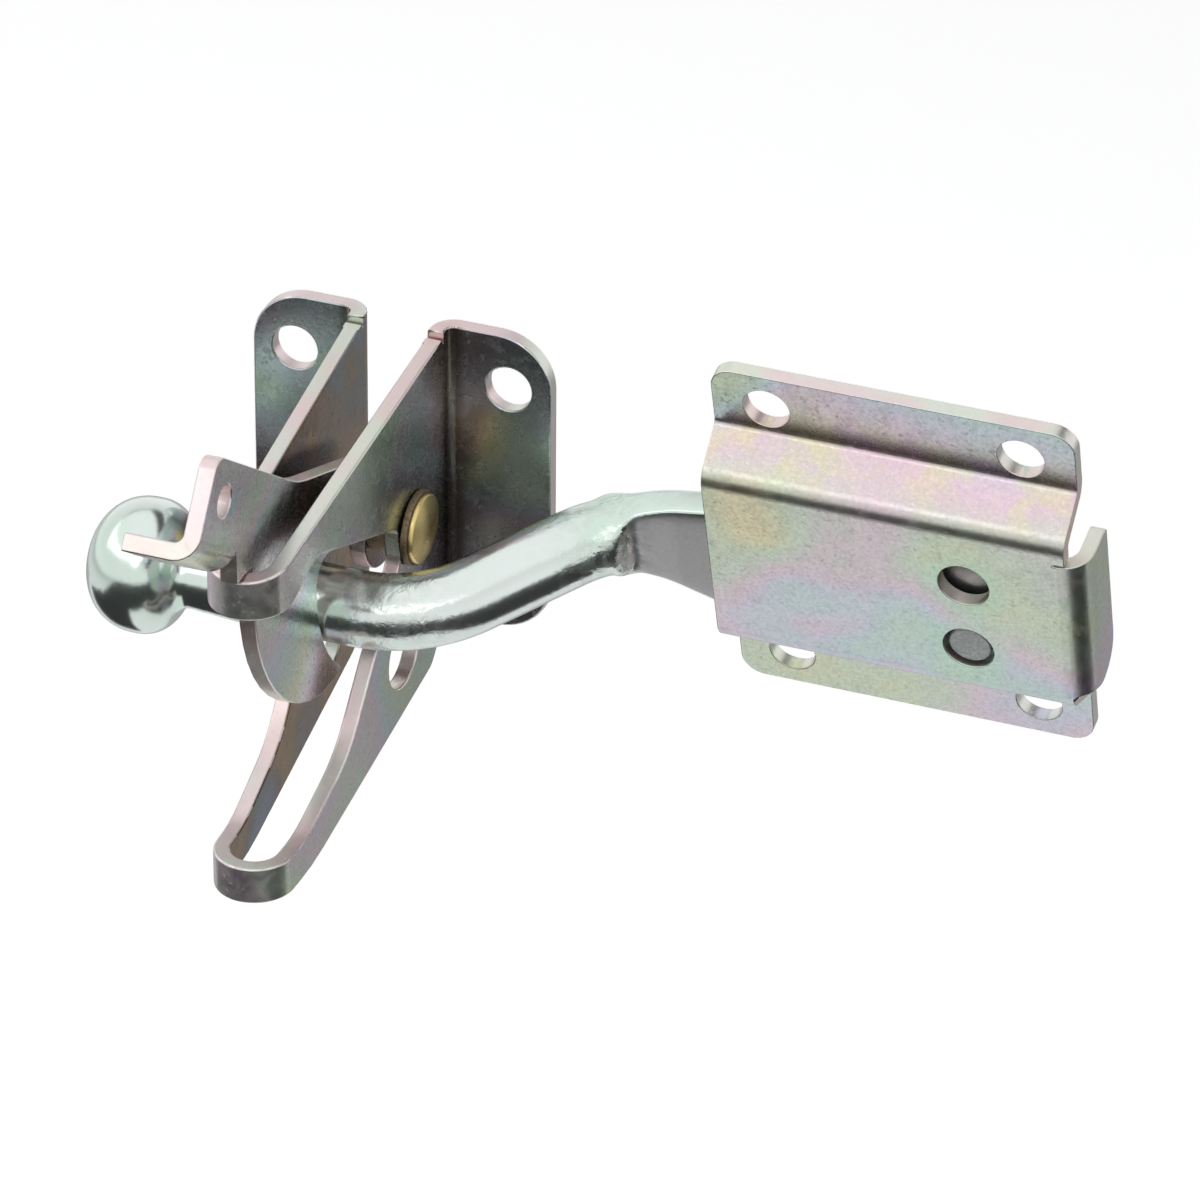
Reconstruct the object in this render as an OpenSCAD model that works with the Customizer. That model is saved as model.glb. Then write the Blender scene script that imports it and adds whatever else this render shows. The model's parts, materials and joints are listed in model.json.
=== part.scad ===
// Automatic gate latch: a post half with a gravity pawl and a gate half with a strike bar.
// Frame: X runs along the strike bar, +Y points into the post, +Z is up. The origin is the middle of the
// four post holes, on the face of the post. All lengths are millimetres.

/* [Sheet metal] */
// Thickness of the latch body's strip
sheet_t = 2.8; // [2:0.1:3.5]
// Thickness of the pawl
pawl_t = 3; // [2:0.1:4]
// Thickness of the cover plate
cover_t = 2.6; // [2:0.1:3.2]
// Inside radius of the bends
bend_r = 1.4; // [0.8:0.1:2.5]

/* [Post flanges] */
// Width over both flanges
flange_w = 53; // [48:0.5:64]
// Height of the flanges
flange_h = 55.5; // [50:0.5:70]
// Height of the flanges' middle over the middle of the holes
flange_rise = 0.9; // [0:0.1:2]
// Radius of the flanges' outer corners
flange_corner_r = 9.5; // [3:0.5:12]
// Distance between the post holes, across
post_hole_dx = 38; // [34:0.5:44]
// Distance between the post holes, up and down
post_hole_dz = 37.5; // [30:0.5:46]
// Diameter of the screw holes
screw_hole_d = 7.9; // [5:0.1:8.5]

/* [Latch walls] */
// From the post to the front of the loops
reach = 73; // [70:0.5:84]
// Inside radius of the front loops
loop_r = 4; // [3:0.1:5.5]
// Angle at which each wall leans in towards the front
toe_in = 1.6; // [0.5:0.1:3]
// Height of the walls' top edge at the post
wall_top_z = 27.5; // [24:0.5:32]
// Height of the upper loop's top edge at the front
upper_loop_z = 17; // [15:0.5:21]
// Height of the upper loop's strip
upper_loop_h = 7; // [5:0.1:9]
// Height of the walls' bottom edge at the post
wall_low_z = -32.5; // [-36:0.5:-30]
// Height of the lower loop's bottom edge at the front
lower_loop_z = -43.5; // [-50:0.5:-41]
// Height of the lower loop's strip
lower_loop_h = 6.6; // [5:0.1:10]
// Angle of the throat's lower edge, on which the bar comes to lie
ramp_angle = 50; // [44:1:54]
// Room behind the bar in the throat
throat_back = 5; // [2:0.1:6]
// Room over the bar at the back of the throat
throat_rise = 3.6; // [2:0.1:6]
// Diameter of the padlock hole
padlock_d = 12; // [8:0.5:13]

/* [Pivot] */
// From the post to the pivot
pivot_y = 17.7; // [16:0.1:20]
// Height of the pivot
pivot_z = -1.5; // [-4:0.1:2]
// Diameter of the rivet's shank
rivet_d = 6.4; // [5:0.1:7]
// Diameter of the rivet's head
rivet_head_d = 11.7; // [10:0.1:13]
// Height of the rivet's head
rivet_head_h = 1.9; // [1:0.1:3]
// Outer diameter of the distance bushes
bush_d = 10; // [8.5:0.1:11]

/* [Pawl] */
// Angle at which the arm rises to the front
arm_angle = 35; // [30:0.5:42]
// Height of the arm, across its length
arm_h = 17.5; // [14:0.5:20]
// Length of the thumb tab along the arm
tab_len = 16.5; // [12:0.5:22]
// Width of the thumb tab, from the pawl's right face
tab_w = 12.7; // [10:0.1:18]
// Diameter of the pull hole
pull_hole_d = 5.5; // [3:0.1:6.5]
// Radius of the hook lobe's front edge
lobe_r = 34; // [28:1:38]

/* [Strike bar] */
// Diameter of the bar
bar_d = 12.7; // [11:0.1:14]
// From the post to the bar's axis
bar_y = 34.2; // [32:0.1:37]
// Height of the bar's axis
bar_z = -8.6; // [-11:0.1:-6]
// Diameter of the knob
knob_d = 22.8; // [18:0.2:26]
// Length of the knob
knob_len = 16.4; // [14:0.2:22]
// Diameter of the knob's neck
neck_d = 11; // [9:0.1:12.5]
// From the latch's middle to the knob's neck
knob_x = 25; // [22:0.5:34]
// From the latch's middle to the start of the S bend
bend_x = 5; // [3:0.5:12]
// Radius of the S bend, at the bar's axis
s_bend_r = 23; // [16:0.5:25]
// Angle of the S bend
s_bend_angle = 50; // [40:1:60]
// Turn of the gate half about the bar, from lying flush with the post
strike_roll = 16; // [0:0.1:20]

/* [Blade] */
// Thickness of the blade
blade_t = 6; // [5:0.1:6.5]
// From the latch's middle to where the blade is flat
flat_x = 44; // [42:0.5:47]
// Length over which the bar is pressed flat
press_len = 6; // [4:0.5:8]
// Height of the blade's upper edge over the bar's axis
blade_top = 9.9; // [8:0.1:12]
// Depth of the blade's lower edge under the bar's axis
blade_low = 13.2; // [9:0.1:13.4]
// From the cover's left end to where the blade has its full height
flare_in = 2; // [1:0.5:10]
// Diameter of the stud
stud_d = 8.5; // [6:0.1:9]

/* [Cover plate] */
// From the latch's middle to the cover's left end
cover_x = 58; // [55:0.5:70]
// Length of the cover's flanges
cover_len = 61.5; // [56:0.5:76]
// Height of the cover
cover_h = 70.8; // [66:0.2:80]
// Height of the cover's middle over the bar
cover_rise = 3.2; // [1:0.1:4.5]
// Height of the flat front
front_h = 34; // [32:0.5:40]
// Depth of the channel that takes the blade
channel_d = 8.4; // [7.6:0.1:10]
// Height that each sloped side takes
slope_h = 5; // [3.5:0.5:6]
// Distance between the gate holes, along
gate_hole_dx = 43; // [40:0.5:50]
// Distance between the gate holes, up and down
gate_hole_dz = 56.8; // [54:0.1:62]
// From the cover's right end to the stud
stud_inset = 17.5; // [13:0.5:22]
// Distance between the two stud holes
stud_pitch = 14.6; // [12:0.2:16]
// How far the middle of the stud holes lies under the cover's middle
stud_drop = 1.8; // [0:0.1:3]
// How far the end flap stands out past the flanges
flap_out = 3.6; // [3:0.1:6]

/* [Clearances] */
// Between pieces that move past each other
move_gap = 0.3; // [0.2:0.05:0.6]
// Around shanks that turn in a hole, on the radius
fit_gap = 0.06; // [0.03:0.01:0.09]

/* [Hidden] */
$fn = 64;

far = 200;
arc_step = 7.5;
zinc = [0.78, 0.80, 0.77];
bright_zinc = [0.84, 0.87, 0.87];
brass = [0.80, 0.64, 0.33];
bronze = [0.52, 0.43, 0.33];

bar_r = bar_d / 2;
pivot = [-pivot_y, pivot_z];
bar = [-bar_y, bar_z];

// Wall lines: the walls' inner faces meet the inside of the loop's front in two corners, and lean apart
// by toe_in from there to the post.
loop_front = -reach + sheet_t;
loop_corner = loop_r / tan(45 + toe_in / 2);
bend_front = -sheet_t - bend_r;
function wall_inner_x(y) = loop_corner + (y - loop_front) * tan(toe_in);
function wall_outer_x(y) = wall_inner_x(y) + sheet_t / cos(toe_in);

// Corner of a rounded outline: the points of the arc of radius r that replaces corner b.
function unit(v) = v / norm(v);
function turn(a) = a > 180 ? a - 360 : a < -180 ? a + 360 : a;
function corner(a, b, c, r) =
    let (u = unit(a - b), w = unit(c - b), half = acos(u * w) / 2,
         mid = b + unit(u + w) * r / sin(half),
         p = b + u * r / tan(half) - mid, q = b + w * r / tan(half) - mid,
         from = atan2(p.y, p.x), sweep = turn(atan2(q.y, q.x) - from),
         steps = max(2, ceil(abs(sweep) / arc_step)))
    [for (i = [0 : steps]) mid + r * [cos(from + sweep * i / steps), sin(from + sweep * i / steps)]];
function xy(p) = [p.x, p.y];
// Closed outline from corners [x, y, radius].
function rounded(pts) =
    let (n = len(pts))
    [for (i = [0 : n - 1])
        each pts[i][2] == 0 ? [xy(pts[i])]
           : corner(xy(pts[(i + n - 1) % n]), xy(pts[i]), xy(pts[(i + 1) % n]), pts[i][2])];
// Outline of a bent sheet: one face follows the open path of corners [x, y, inside radius], the other lies
// t to the left of it.
function left_of(v) = [-v.y, v.x];
function miter(path, i, t) =
    let (last = len(path) - 1,
         a = left_of(unit(xy(path[min(i + 1, last)] - path[min(i, last - 1)]))),
         b = left_of(unit(xy(path[max(i, 1)] - path[max(i - 1, 0)]))))
    xy(path[i]) + (a + b) * t / (1 + a * b);
function is_end(path, i) = i == 0 || i == len(path) - 1;
function bends_left(path, i) =
    left_of(path[i] - path[i - 1]) * xy(path[i + 1] - path[i]) > 0;
function sheet_outline(path, t) =
    let (last = len(path) - 1)
    rounded(concat(
        [for (i = [0 : last]) [path[i].x, path[i].y,
            is_end(path, i) ? 0 : path[i][2] + (bends_left(path, i) ? t : 0)]],
        [for (i = [last : -1 : 0]) let (p = miter(path, i, t)) [p.x, p.y,
            is_end(path, i) ? 0 : path[i][2] + (bends_left(path, i) ? 0 : t)]]));

// Extrusions of outlines drawn in (y, z), along X, and in (x, z), along Y.
module along_x(x0, x1) translate([x0, 0, 0]) rotate([90, 0, 90]) linear_extrude(x1 - x0) children();
module along_y(y0, y1) translate([0, y1, 0]) rotate([90, 0, 0]) linear_extrude(y1 - y0) children();
module rod_x(p, d, x0, x1) translate([x0, p.x, p.y]) rotate([0, 90, 0]) cylinder(d = d, h = x1 - x0);

// Latch body, seen from above: one strip from flange to flange, round the front loop.
latch_plan = [
    [flange_w / 2, 0, 0], [wall_inner_x(0), 0, bend_r], [loop_corner, loop_front, loop_r],
    [-loop_corner, loop_front, loop_r], [-wall_inner_x(0), 0, bend_r], [-flange_w / 2, 0, 0]];

// Latch body, seen from the side.
relief = 1;
flange_low = flange_rise - flange_h / 2;
notch_w = 1.4;
notch_h = 1.2;
throat_y = bar.x + bar_r + throat_back;
throat_slope = 0.39;
throat_lean = 1.2;
seat = bar + (bar_r + move_gap) * [sin(ramp_angle), -cos(ramp_angle)];
function ramp_z(y) = seat.y + (y - seat.x) * tan(ramp_angle);
lower_loop_top = lower_loop_z + lower_loop_h;
ramp_end_z = lower_loop_top + 6;
ramp_end_y = seat.x + (ramp_end_z - seat.y) / tan(ramp_angle);
ramp_toe = 16;
padlock_drop = 18.4;
throat_top = [throat_y - throat_lean, bar.y + bar_r + throat_rise];
upper_loop_low = upper_loop_z - upper_loop_h;
mouth_top = upper_loop_low + 4;
mouth_y = throat_top.x - (mouth_top - throat_top.y) / throat_slope;
rim_slope = (wall_top_z - upper_loop_z) / (bend_front - notch_w + reach);
wall_side = [
    [bend_front, wall_top_z - notch_h, 0],
    [bend_front - notch_w, wall_top_z - notch_h, 0.8],
    [bend_front - notch_w, wall_top_z, 0.5],
    [-reach, upper_loop_z, 0],
    [-reach, upper_loop_low, 0],
    [loop_front + loop_r + 2, upper_loop_low, 8],
    [mouth_y, mouth_top, 9],
    [throat_top.x, throat_top.y, 2],
    [throat_y, ramp_z(throat_y), 3],
    [ramp_end_y, ramp_end_z, 20],
    [ramp_end_y - ramp_toe, lower_loop_top, 20],
    [-reach, lower_loop_top, 0],
    [-reach, lower_loop_z, 0],
    [-reach + 14, lower_loop_z, 40],
    [bend_front - 6, wall_low_z, 4],
    [bend_front, flange_low + relief, 0]];
padlock = [throat_y + throat_lean, ramp_z(throat_y) - padlock_drop];

module latch_body() color(zinc) difference() {
    intersection() {
        translate([0, 0, -far / 2]) linear_extrude(far) polygon(sheet_outline(latch_plan, sheet_t));
        union() {
            along_x(-far, far) polygon(rounded(wall_side));
            along_y(bend_front - relief, relief)
                polygon(rounded([for (p = [[1, 1], [-1, 1], [-1, -1], [1, -1]])
                    [p.x * flange_w / 2, flange_rise + p.y * flange_h / 2, flange_corner_r]]));
        }
    }
    for (x = [-1, 1], z = [-1, 1])
        translate([x * post_hole_dx / 2, 1, z * post_hole_dz / 2]) rotate([90, 0, 0])
            cylinder(d = screw_hole_d, h = sheet_t + 2);
    rod_x(pivot, rivet_d + 2 * fit_gap, -far, far);
    rod_x(padlock, padlock_d, -far, far);
}

// Rivet, washer and bushes stack along the pivot, and meet the walls where those stand out furthest.
washer_d = rivet_head_d + 1.2;
washer_t = 1.1;
head_seat = wall_outer_x(pivot.x + washer_d / 2);
tail_d = rivet_d + 3.2;
tail_h = 1.4;
head_rim = 0.8;
tail_rim = 0.4;
tail_seat = wall_outer_x(pivot.x + tail_d / 2);
pawl_side = pawl_t / 2;
bush_out = wall_inner_x(pivot.x - bush_d / 2);

// A low dome of base diameter d and height h over a straight rim, turned about Z.
module dome(d, h, rim) rotate_extrude() {
    square([d / 2, rim]);
    translate([0, rim]) intersection() {
        square([d / 2, h - rim]);
        let (r = (d * d / 4 + (h - rim) * (h - rim)) / (2 * (h - rim)))
            translate([0, h - rim - r]) circle(r, $fn = 128);
    }
}

module pivot_rivet() color(brass) {
    head_x = head_seat + washer_t;
    rod_x(pivot, rivet_d, -tail_seat - tail_h / 2, head_x + rivet_head_h / 2);
    translate([head_x, pivot.x, pivot.y]) rotate([0, 90, 0]) dome(rivet_head_d, rivet_head_h, head_rim);
    translate([-tail_seat, pivot.x, pivot.y]) rotate([0, -90, 0]) dome(tail_d, tail_h, tail_rim);
}

module pivot_washer() color(zinc) difference() {
    rod_x(pivot, washer_d, head_seat, head_seat + washer_t);
    rod_x(pivot, rivet_d + 2 * fit_gap, 0, far);
}

module bush(side) difference() {
    rod_x(pivot, bush_d, side > 0 ? pawl_side + move_gap / 2 : -bush_out,
          side > 0 ? bush_out : -pawl_side - move_gap / 2);
    rod_x(pivot, rivet_d + 2 * fit_gap, -far, far);
}
module bush_left() color(bronze) bush(-1);
module bush_right() color(bronze) bush(1);

// Pawl, seen from the side. The arm rises along arm_dir, and its lower edge bends into the thumb tab.
arm_dir = [-cos(arm_angle), sin(arm_angle)];
arm_up = [sin(arm_angle), cos(arm_angle)];
tab_r = bend_r + pawl_t;
tab_lap = 2;
tab_path = [[pawl_side - tab_w, 0, 0], [pawl_side, 0, bend_r], [pawl_side, tab_r + tab_lap, 0]];
stop_z = upper_loop_z + rim_slope * sheet_t + move_gap;
tab_ahead = 4.3;
tab_lift = 3;
tab_rear = [-reach - tab_ahead, stop_z + tab_lift];
tab_tip = tab_rear + tab_len * arm_dir;
arm_tip = tab_tip + arm_h * arm_up;
pull_drop = 6.5;
pull_back = 6.8;
pull_hole = arm_tip - pull_drop * arm_up - pull_back * arm_dir;
arm_len = 38;
arm_root = arm_tip - arm_len * arm_dir;
plate_low = tab_r + tab_lap / 2;
plate_tip = tab_tip + plate_low * arm_up;
plate_set = 0.8;
plate_rear = tab_rear + plate_low * arm_up + plate_set * arm_dir;
plate_inset = 1.2;
plate_front = -reach + sheet_t + plate_inset;
lobe_top = [plate_front + 1.5, upper_loop_low - 4.5];
lobe_from = 190;
lobe_mid = lobe_top - lobe_r * [cos(lobe_from), sin(lobe_from)];
hook_play = 0.4;
hook_r = norm(bar - pivot) + bar_r + move_gap + hook_play;
hook_tip = 229;
tip_turn = 7;
hook_in = pivot + hook_r / cos((hook_tip - 180) / 2)
        * [cos((hook_tip + 180) / 2), sin((hook_tip + 180) / 2)];
tip_end = pivot + hook_r * [cos(hook_tip + tip_turn), sin(hook_tip + tip_turn)];
tip_sweep = 12;
lobe_turn = 360 + atan2(tip_end.y - lobe_mid.y, tip_end.x - lobe_mid.x) - lobe_from - tip_sweep;
notch_r = 4;
notch_top = pivot.y + notch_r + 0.5;
hub_shift = [3.6, -2];
hub = pivot + hub_shift;
hub_r = 8.3;
pawl_side_pts = [
    [arm_tip.x, arm_tip.y, 2.6],
    [plate_tip.x, plate_tip.y, 0],
    [plate_rear.x, plate_rear.y, 0],
    [plate_rear.x, stop_z, 0],
    [plate_front, stop_z, 0],
    for (a = [0 : arc_step : lobe_turn])
        [lobe_mid.x + lobe_r * cos(lobe_from + a), lobe_mid.y + lobe_r * sin(lobe_from + a), 0],
    [tip_end.x, tip_end.y, 0.8],
    [hook_in.x, hook_in.y, hook_r],
    [pivot.x - hook_r, notch_top, notch_r],
    [hub.x - hub_r - 1.5, notch_top, 3],
    [hub.x - hub_r + 1, hub.y, 0],
    [hub.x + hub_r - 0.2, hub.y, 0],
    [hub.x + hub_r - 3, pivot.y + 9, 5],
    [arm_root.x, arm_root.y, 30]];

module pawl() color(zinc) difference() {
    union() {
        along_x(-pawl_side, pawl_side) {
            polygon(rounded(pawl_side_pts));
            translate(hub) circle(hub_r);
        }
        translate([0, tab_rear.x, tab_rear.y]) rotate([-arm_angle, 0, 0]) along_y(-tab_len, 0)
            polygon(sheet_outline(tab_path, pawl_t));
    }
    rod_x(pivot, rivet_d + 2 * fit_gap, -far, far);
    rod_x(pull_hole, pull_hole_d, -far, far);
}

// Gate half. It is drawn flush with the post, about the bar's axis, and turned by strike_roll.
module strike_frame() translate([0, bar.x, bar.y]) rotate([strike_roll, 0, 0]) children();

gate_y = bar_y;
blade_set = 0.55;
blade_back = (channel_d - blade_t) * blade_set;
blade_y = gate_y - blade_back - blade_t / 2;
s_run = (blade_y - 2 * s_bend_r * (1 - cos(s_bend_angle))) / sin(s_bend_angle);
s_dir = [cos(s_bend_angle), sin(s_bend_angle)];
s_low = [bend_x, 0] + s_bend_r * [sin(s_bend_angle), 1 - cos(s_bend_angle)];
s_high = s_low + s_run * s_dir;
s_centre = s_high + s_bend_r * [sin(s_bend_angle), -cos(s_bend_angle)];
blade_x = s_centre.x;
flare_x = cover_x + flare_in;
cover_end = cover_x + cover_len;
stud_x = cover_end - stud_inset;
stud_z = cover_rise - stud_drop - stud_pitch / 2;
blade_past = 10;
blade_end = stud_x + blade_past;
blade_corner_r = 6;

// One ring of the bent stretch: a superellipse across the path at angle a, with half width n.
ring_pts = 36;
function power(v, e) = sign(v) * pow(abs(v), 2 / e);
function ring(centre, a, n, top, low, e) =
    [for (i = [0 : ring_pts - 1])
        let (f = 360 * i / ring_pts, off = n * power(cos(f), e))
        [centre.x - off * sin(a), centre.y + off * cos(a),
         (top - low) / 2 + (top + low) / 2 * power(sin(f), e)]];
function mix(a, b, k) = a + (b - a) * k;
function ease(k) = k * k * (3 - 2 * k);
// The bent stretch starts inside the straight bar, goes round the S bend and ends inside the blade. It is
// a hair slimmer than both. The bar's round section turns into the blade's along the second bend.
slim = 0.998;
rings = 14;
flare_rings = 5;
lap = 2;
function round_ring(centre, a) = ring(centre, a, slim * bar_r, slim * bar_r, slim * bar_r, 2);
function press(x) = ease(max(0, min(1, (x - flat_x) / press_len + 1)));
function flare(x) = max(0, min(1, (x - flat_x + press_len / 2) / (flare_x - flat_x + press_len / 2)));
function flat_ring(centre, a) =
    let (k = press(centre.x), f = flare(centre.x))
    ring(centre, a, slim * mix(bar_r, blade_t / 2, k), slim * mix(bar_r, blade_top, f),
         slim * mix(bar_r, blade_low, f), mix(2, 8, k));
bent_rows = concat(
    [round_ring([bend_x - lap, 0], 0)],
    [for (i = [0 : rings]) let (a = s_bend_angle * i / rings)
        round_ring([bend_x, 0] + s_bend_r * [sin(a), 1 - cos(a)], a)],
    [for (i = [0 : rings]) let (a = s_bend_angle * (1 - i / rings))
        flat_ring(s_centre + s_bend_r * [-sin(a), cos(a)], a)],
    [for (i = [1 : flare_rings])
        flat_ring([mix(blade_x, flare_x, i / flare_rings), blade_y], 0)],
    [flat_ring([flare_x + lap, blade_y], 0)]);

module skin(rows) {
    n = len(rows[0]);
    m = len(rows);
    polyhedron(
        [for (row = rows) each row],
        concat([for (i = [1 : n - 2]) [0, i, i + 1]],
               [for (j = [0 : m - 2], i = [0 : n - 1])
                   each let (a = j * n + i, b = j * n + (i + 1) % n) [[a, b + n, b], [a, a + n, b + n]]],
               [for (i = [1 : n - 2]) [0, i + 1, i] + (m - 1) * n * [1, 1, 1]]));
}

// Straight bar with its knob, turned about X: a flattened ball, a fillet, and the neck's cone to the bar.
module turned_bar() translate([-knob_x, 0, 0]) rotate([0, -90, 0]) rotate_extrude() {
    knob_r = knob_d / 2;
    neck_fillet = 2.5;
    shoulder = 0.19 * knob_len;
    shoulder_r = 6;
    face_r = 8.6;
    polygon(rounded([
        [0, -knob_x - bend_x, 0],
        [bar_r, -knob_x - bend_x, 0],
        [bar_r, -bar_d, 0],
        [neck_d / 2, 0, neck_fillet],
        [knob_r, shoulder, shoulder_r],
        [knob_r, knob_len, face_r],
        [0, knob_len, 0]]));
}

module strike_bar() color(bright_zinc) strike_frame() difference() {
    union() {
        turned_bar();
        skin(bent_rows);
        along_y(blade_y - blade_t / 2, blade_y + blade_t / 2) polygon(rounded([
            [flare_x, -blade_low, 0],
            [blade_end, -blade_low, blade_corner_r],
            [blade_end, blade_top, blade_corner_r],
            [flare_x, blade_top, 0]]));
    }
    translate([stud_x, gate_y, stud_z]) rotate([90, 0, 0]) cylinder(d = stud_d, h = gate_y);
}

stud_recess = 0.7;
module strike_stud() color(zinc) strike_frame()
    translate([stud_x, gate_y - blade_back, stud_z]) rotate([90, 0, 0])
        cylinder(d = stud_d, h = channel_d + cover_t - stud_recess - blade_back);

// Cover plate. The hat profile is drawn in (y, z), the flap in (x, y), both from the gate's face.
hat_path = [
    [0, -cover_h / 2, 0], [0, -front_h / 2 - slope_h, bend_r], [-channel_d, -front_h / 2, bend_r],
    [-channel_d, front_h / 2, bend_r], [0, front_h / 2 + slope_h, bend_r], [0, cover_h / 2, 0]];
cover_corner_r = 4;
// The flap's bend starts beyond a seam in the flat front, under a relief that frees its top edge.
flap_r = 2.4;
flap_relief = 0.5;
flap_top = front_h / 2 - 3;
flap_low = 1 - front_h / 2;
flap_corner_r = 6;
flap_x = cover_end + flap_out - cover_t;
flap_seam = flap_x - flap_r - 0.6;
flap_lap = 2;
flap_path = [[flap_x, 0, 0], [flap_x, -channel_d, flap_r], [flap_seam - flap_lap, -channel_d, 0]];

module cover_plate() color(zinc) strike_frame() translate([0, gate_y, cover_rise]) difference() {
    union() {
        difference() {
            intersection() {
                along_x(cover_x, cover_end) polygon(sheet_outline(hat_path, cover_t));
                along_y(-far, far) polygon(rounded([for (p = [[0, -1], [1, -1], [1, 1], [0, 1]])
                    [cover_x + p.x * cover_len, p.y * cover_h / 2, cover_corner_r]]));
            }
            translate([flap_seam, -channel_d - cover_t - 1, flap_low])
                cube([far, cover_t + 2, flap_top - flap_low + flap_relief]);
        }
        intersection() {
            translate([0, 0, flap_low]) linear_extrude(flap_top - flap_low)
                polygon(sheet_outline(flap_path, cover_t));
            along_x(0, far) polygon(rounded([
                [-channel_d - cover_t, flap_low, 0], [0, flap_low, flap_corner_r],
                [0, flap_top, 1], [-channel_d - cover_t, flap_top, 0]]));
        }
    }
    for (x = [-1, 1], z = [-1, 1])
        translate([cover_x + (cover_len + x * gate_hole_dx) / 2, 1, z * gate_hole_dz / 2])
            rotate([90, 0, 0]) cylinder(d = screw_hole_d, h = cover_t + 2);
    for (z = [-1, 1])
        translate([stud_x, -channel_d / 2, z * stud_pitch / 2 - stud_drop]) rotate([90, 0, 0])
            cylinder(d = stud_d + 2 * fit_gap, h = channel_d);
}

latch_body();
pivot_rivet();
pivot_washer();
bush_left();
bush_right();
pawl();
strike_bar();
strike_stud();
cover_plate();
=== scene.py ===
"""Automatic gate latch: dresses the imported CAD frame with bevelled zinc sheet, a turned and bent strike
bar, a brass pivot rivet and bronze bushes, and sets the studio round them. Lengths are in metres."""

import json
import math

import bmesh
import bpy
import numpy as np
from bpy.props import FloatProperty, FloatVectorProperty, IntProperty, PointerProperty
from mathutils import Matrix, Vector
from mathutils.bvhtree import BVHTree


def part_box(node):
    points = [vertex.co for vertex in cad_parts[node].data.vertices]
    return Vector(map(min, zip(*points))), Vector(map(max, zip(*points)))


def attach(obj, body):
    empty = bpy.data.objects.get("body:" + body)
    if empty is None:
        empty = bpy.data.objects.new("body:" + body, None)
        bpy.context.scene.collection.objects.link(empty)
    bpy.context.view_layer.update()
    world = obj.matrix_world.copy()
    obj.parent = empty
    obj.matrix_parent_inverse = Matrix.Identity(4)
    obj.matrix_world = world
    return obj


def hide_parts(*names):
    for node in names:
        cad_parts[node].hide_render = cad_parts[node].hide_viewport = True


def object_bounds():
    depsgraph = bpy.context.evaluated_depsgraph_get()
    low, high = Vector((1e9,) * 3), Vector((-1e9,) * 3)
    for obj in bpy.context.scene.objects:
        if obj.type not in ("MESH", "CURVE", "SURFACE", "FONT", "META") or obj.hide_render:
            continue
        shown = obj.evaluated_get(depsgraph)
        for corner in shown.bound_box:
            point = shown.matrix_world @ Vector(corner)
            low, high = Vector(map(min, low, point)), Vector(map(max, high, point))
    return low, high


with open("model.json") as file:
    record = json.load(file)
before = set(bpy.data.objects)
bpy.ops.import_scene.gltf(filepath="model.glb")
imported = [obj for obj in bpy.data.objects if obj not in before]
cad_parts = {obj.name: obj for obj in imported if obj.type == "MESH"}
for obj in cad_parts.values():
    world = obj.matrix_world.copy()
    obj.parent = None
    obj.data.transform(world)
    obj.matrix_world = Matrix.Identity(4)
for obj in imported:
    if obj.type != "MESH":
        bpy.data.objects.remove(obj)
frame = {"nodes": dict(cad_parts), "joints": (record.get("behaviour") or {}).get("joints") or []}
CAD_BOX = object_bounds()

bl_info = {
    "name": "Automatic gate latch",
    "version": (1, 0, 0),
    "blender": (4, 5, 0),
    "location": "View3D > Sidebar > Gate latch",
    "description": "Bevelled sheet, turned strike bar and pivot of an automatic gate latch",
    "category": "Object",
}

MM = 0.001
JOINTS = {joint["name"]: joint for joint in frame["joints"]}
PIVOT = Vector(JOINTS["pawl_lift"]["pos_m"])
BAR = Vector(JOINTS["bar_roll"]["pos_m"])
STUD = Vector(JOINTS["cover_pivot"]["pos_m"])
GATE_OUT = Vector(JOINTS["cover_pivot"]["axis"]).normalized()
RIGHT, UP = Vector((1, 0, 0)), Vector((0, 0, 1))
COVER_UP = RIGHT.cross(-GATE_OUT)
# Columns are the gate half's own axes: along the bar, into the gate, and up the cover.
GATE_AXES = Matrix((RIGHT, -GATE_OUT, COVER_UP)).transposed()


def length(name, description, default_mm):
    """A length property, given in millimetres and kept in metres."""
    return FloatProperty(name=name, description=description, default=default_mm * MM, unit="LENGTH")


def colour(name, description, default):
    """A colour property."""
    return FloatVectorProperty(name=name, description=description, default=default, subtype="COLOR",
                               size=3, min=0, max=1)


def glow(name, description, default):
    """A property for the strength of an even glow."""
    return FloatProperty(name=name, description=description, default=default, min=0)


def bearing(name, description, default_degrees):
    """An angle property, given in degrees and kept in radians."""
    return FloatProperty(name=name, description=description, default=math.radians(default_degrees),
                         subtype="ANGLE")


class LatchSheetSizes(bpy.types.PropertyGroup):
    """Edges of the stamped sheet pieces."""
    body_edge: length("Body edge", "Radius of the tumbled edge on the latch body", 0.4)
    pawl_edge: length("Pawl edge", "Radius of the tumbled edge on the pawl", 0.3)
    cover_edge: length("Cover edge", "Radius of the tumbled edge on the cover plate", 0.2)
    edge_steps: IntProperty(name="Edge steps", description="Facets across a tumbled edge", default=3)
    sharp: bearing("Sharp angle", "Edges steeper than this are tumbled", 30)
    merge: length("Merge", "Corners of the CAD mesh closer than this are one corner", 0.02)
    pawl_merge: length("Pawl merge", "The same for the pawl, with its folded tab", 0.05)
    cover_kept: FloatProperty(name="Cover round", default=0.15,
                              description="Share of the round kept in the cover's tight corners")
    bare: length("Bare corner", "How far from a corner without room the edges are left unrounded", 1.2)
    thickest: length("Thickest sheet", "A face with more metal than this behind it is a sheared edge", 3.4)


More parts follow.
